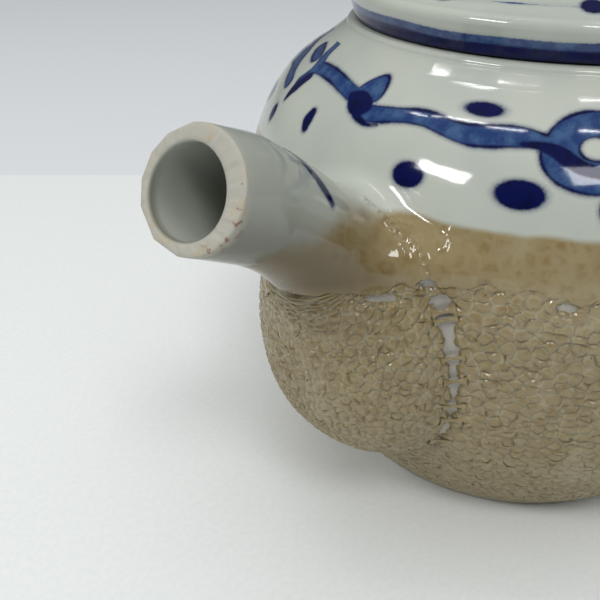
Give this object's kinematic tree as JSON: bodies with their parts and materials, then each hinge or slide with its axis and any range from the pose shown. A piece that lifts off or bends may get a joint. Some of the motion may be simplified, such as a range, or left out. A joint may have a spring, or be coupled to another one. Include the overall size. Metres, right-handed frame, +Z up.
{
  "type": "porcelain teapot",
  "caption": "Round porcelain teapot with an upward spout on a bulging bag, a loop handle and a lift-off domed lid.",
  "frame": {"origin": "on the pot's axis, in the plane that the foot rests on", "axes": "+Z up along the pot's axis; the spout points along -X and the handle along +X"},
  "size_m": [0.1727, 0.111, 0.111],
  "materials": {
    "painted_porcelain": "glossy white glaze with cobalt underglaze painting",
    "crackle_glaze": "thick tan glaze crawled into raised scales",
    "plain_porcelain": "plain thin white glaze",
    "bare_porcelain": "unglazed, smooth, matt"
  },
  "bodies": {
    "pot": {"pot_body": "painted_porcelain", "foot_ring": "bare_porcelain", "neck_collar": "painted_porcelain", "spout_pouch": "crackle_glaze", "spout_tube": "painted_porcelain", "spout_strainer": "plain_porcelain", "handle_loop": "painted_porcelain"},
    "lid": {"lid_dome": "painted_porcelain", "lid_flange": "bare_porcelain", "lid_knob": "painted_porcelain"}
  },
  "joints": [
    {"name": "lid_lift", "type": "slide", "parent": "pot", "child": "lid", "axis": [0, 0, 1], "range_m": [0, 0.06]}
  ]
}
